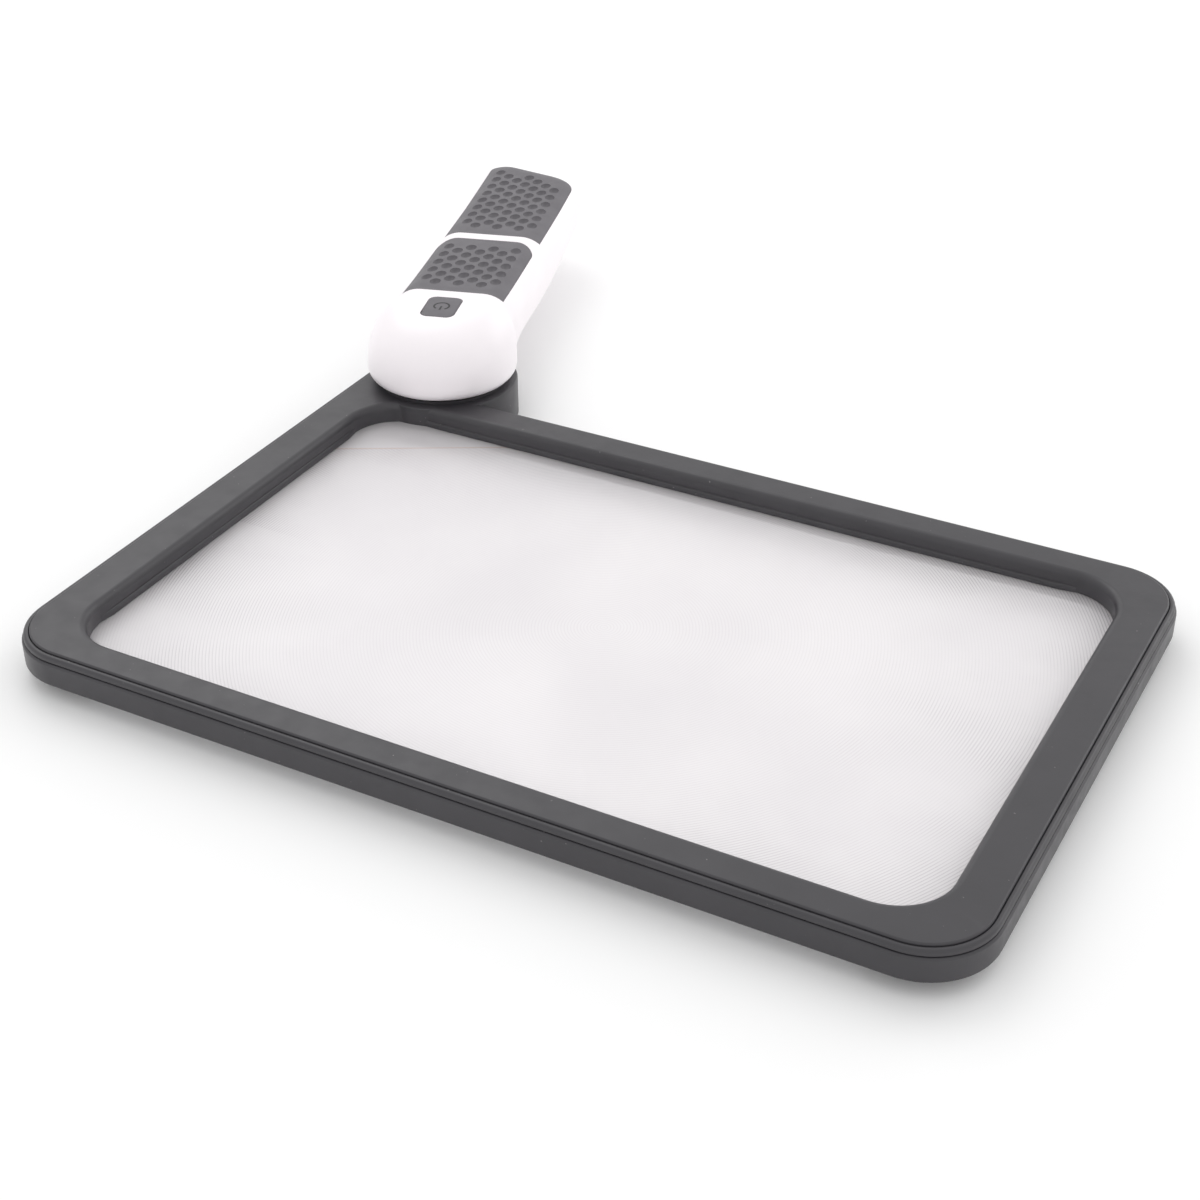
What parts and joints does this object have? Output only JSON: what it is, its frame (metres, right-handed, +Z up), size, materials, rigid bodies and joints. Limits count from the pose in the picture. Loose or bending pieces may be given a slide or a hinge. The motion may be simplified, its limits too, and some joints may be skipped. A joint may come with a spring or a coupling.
{
  "type": "page magnifier",
  "caption": "Full-page reading magnifier: dark rectangular frame, ridged sheet lens, edge lights, and a white battery handle swivelling on a corner boss.",
  "frame": {"origin": "middle of the whole object's footprint, at the height of its lowest point, the underside of the corner boss", "axes": "+X along the frame's long side, +Y across the frame towards the corner boss and handle, +Z up out of the lens"},
  "size_m": [0.2724, 0.2856, 0.0331],
  "materials": {
    "frame_plastic": "fine satin texture",
    "handle_plastic": "soft gloss",
    "grip_rubber": "matt, dimpled",
    "lens_acrylic": "clear acrylic with fine rings",
    "diffuser": "frosted",
    "board_laminate": "satin",
    "light_chips": "satin",
    "steel": "plated",
    "contact_metal": "nickel plated",
    "cell_jacket": "gloss sleeve",
    "nylon": "satin",
    "switch_plastic": "satin",
    "lead_insulation": "satin"
  },
  "bodies": {
    "frame": {"frame_lower_cover": "frame_plastic", "frame_upper_cover": "frame_plastic", "fresnel_lens": "lens_acrylic", "boss_cap": "frame_plastic", "friction_washer": "nylon", "led_board_front": "board_laminate", "led_board_back": "board_laminate", "led_strip_front": "light_chips", "led_strip_back": "light_chips", "light_window_front": "diffuser", "light_window_back": "diffuser", "frame_screw_1": "steel", "frame_screw_2": "steel", "frame_screw_3": "steel", "frame_screw_4": "steel", "frame_screw_5": "steel", "lead_front_lights": "lead_insulation", "lead_back_lights": "lead_insulation"},
    "handle": {"handle_upper_shell": "handle_plastic", "handle_lower_shell": "handle_plastic", "front_grip_pad": "grip_rubber", "rear_grip_pad": "grip_rubber", "tact_switch": "switch_plastic", "control_board": "board_laminate", "pivot_tube": "steel", "wave_washer": "steel", "retaining_ring": "steel", "stop_pin": "steel", "battery_1": "cell_jacket", "battery_2": "cell_jacket", "battery_3": "cell_jacket", "contact_spring_1": "contact_metal", "contact_spring_2": "contact_metal", "contact_spring_3": "contact_metal", "contact_plate_1": "contact_metal", "contact_plate_2": "contact_metal", "contact_plate_3": "contact_metal", "handle_screw_1": "steel", "handle_screw_2": "steel", "handle_screw_3": "steel", "handle_screw_4": "steel", "lead_through_pivot": "lead_insulation", "lead_to_cells": "lead_insulation"},
    "button": {"power_button": "grip_rubber", "switch_plunger": "switch_plastic"},
    "door": {"battery_door": "handle_plastic"}
  },
  "joints": [
    {"name": "handle_swivel", "type": "hinge", "parent": "frame", "child": "handle", "pos_m": [-0.08249, 0.02211, 0.0134], "axis": [0, 0, 1], "range_deg": [-107, 163]},
    {"name": "button_press", "type": "slide", "parent": "handle", "child": "button", "axis": [0, 0, -1], "range_m": [0, 0.0005], "stiffness_N_per_m": 600, "springref_m": -0.001},
    {"name": "battery_door_slide", "type": "slide", "parent": "handle", "child": "door", "axis": [0, 0, -1], "range_m": [0, 0.0008]}
  ]
}
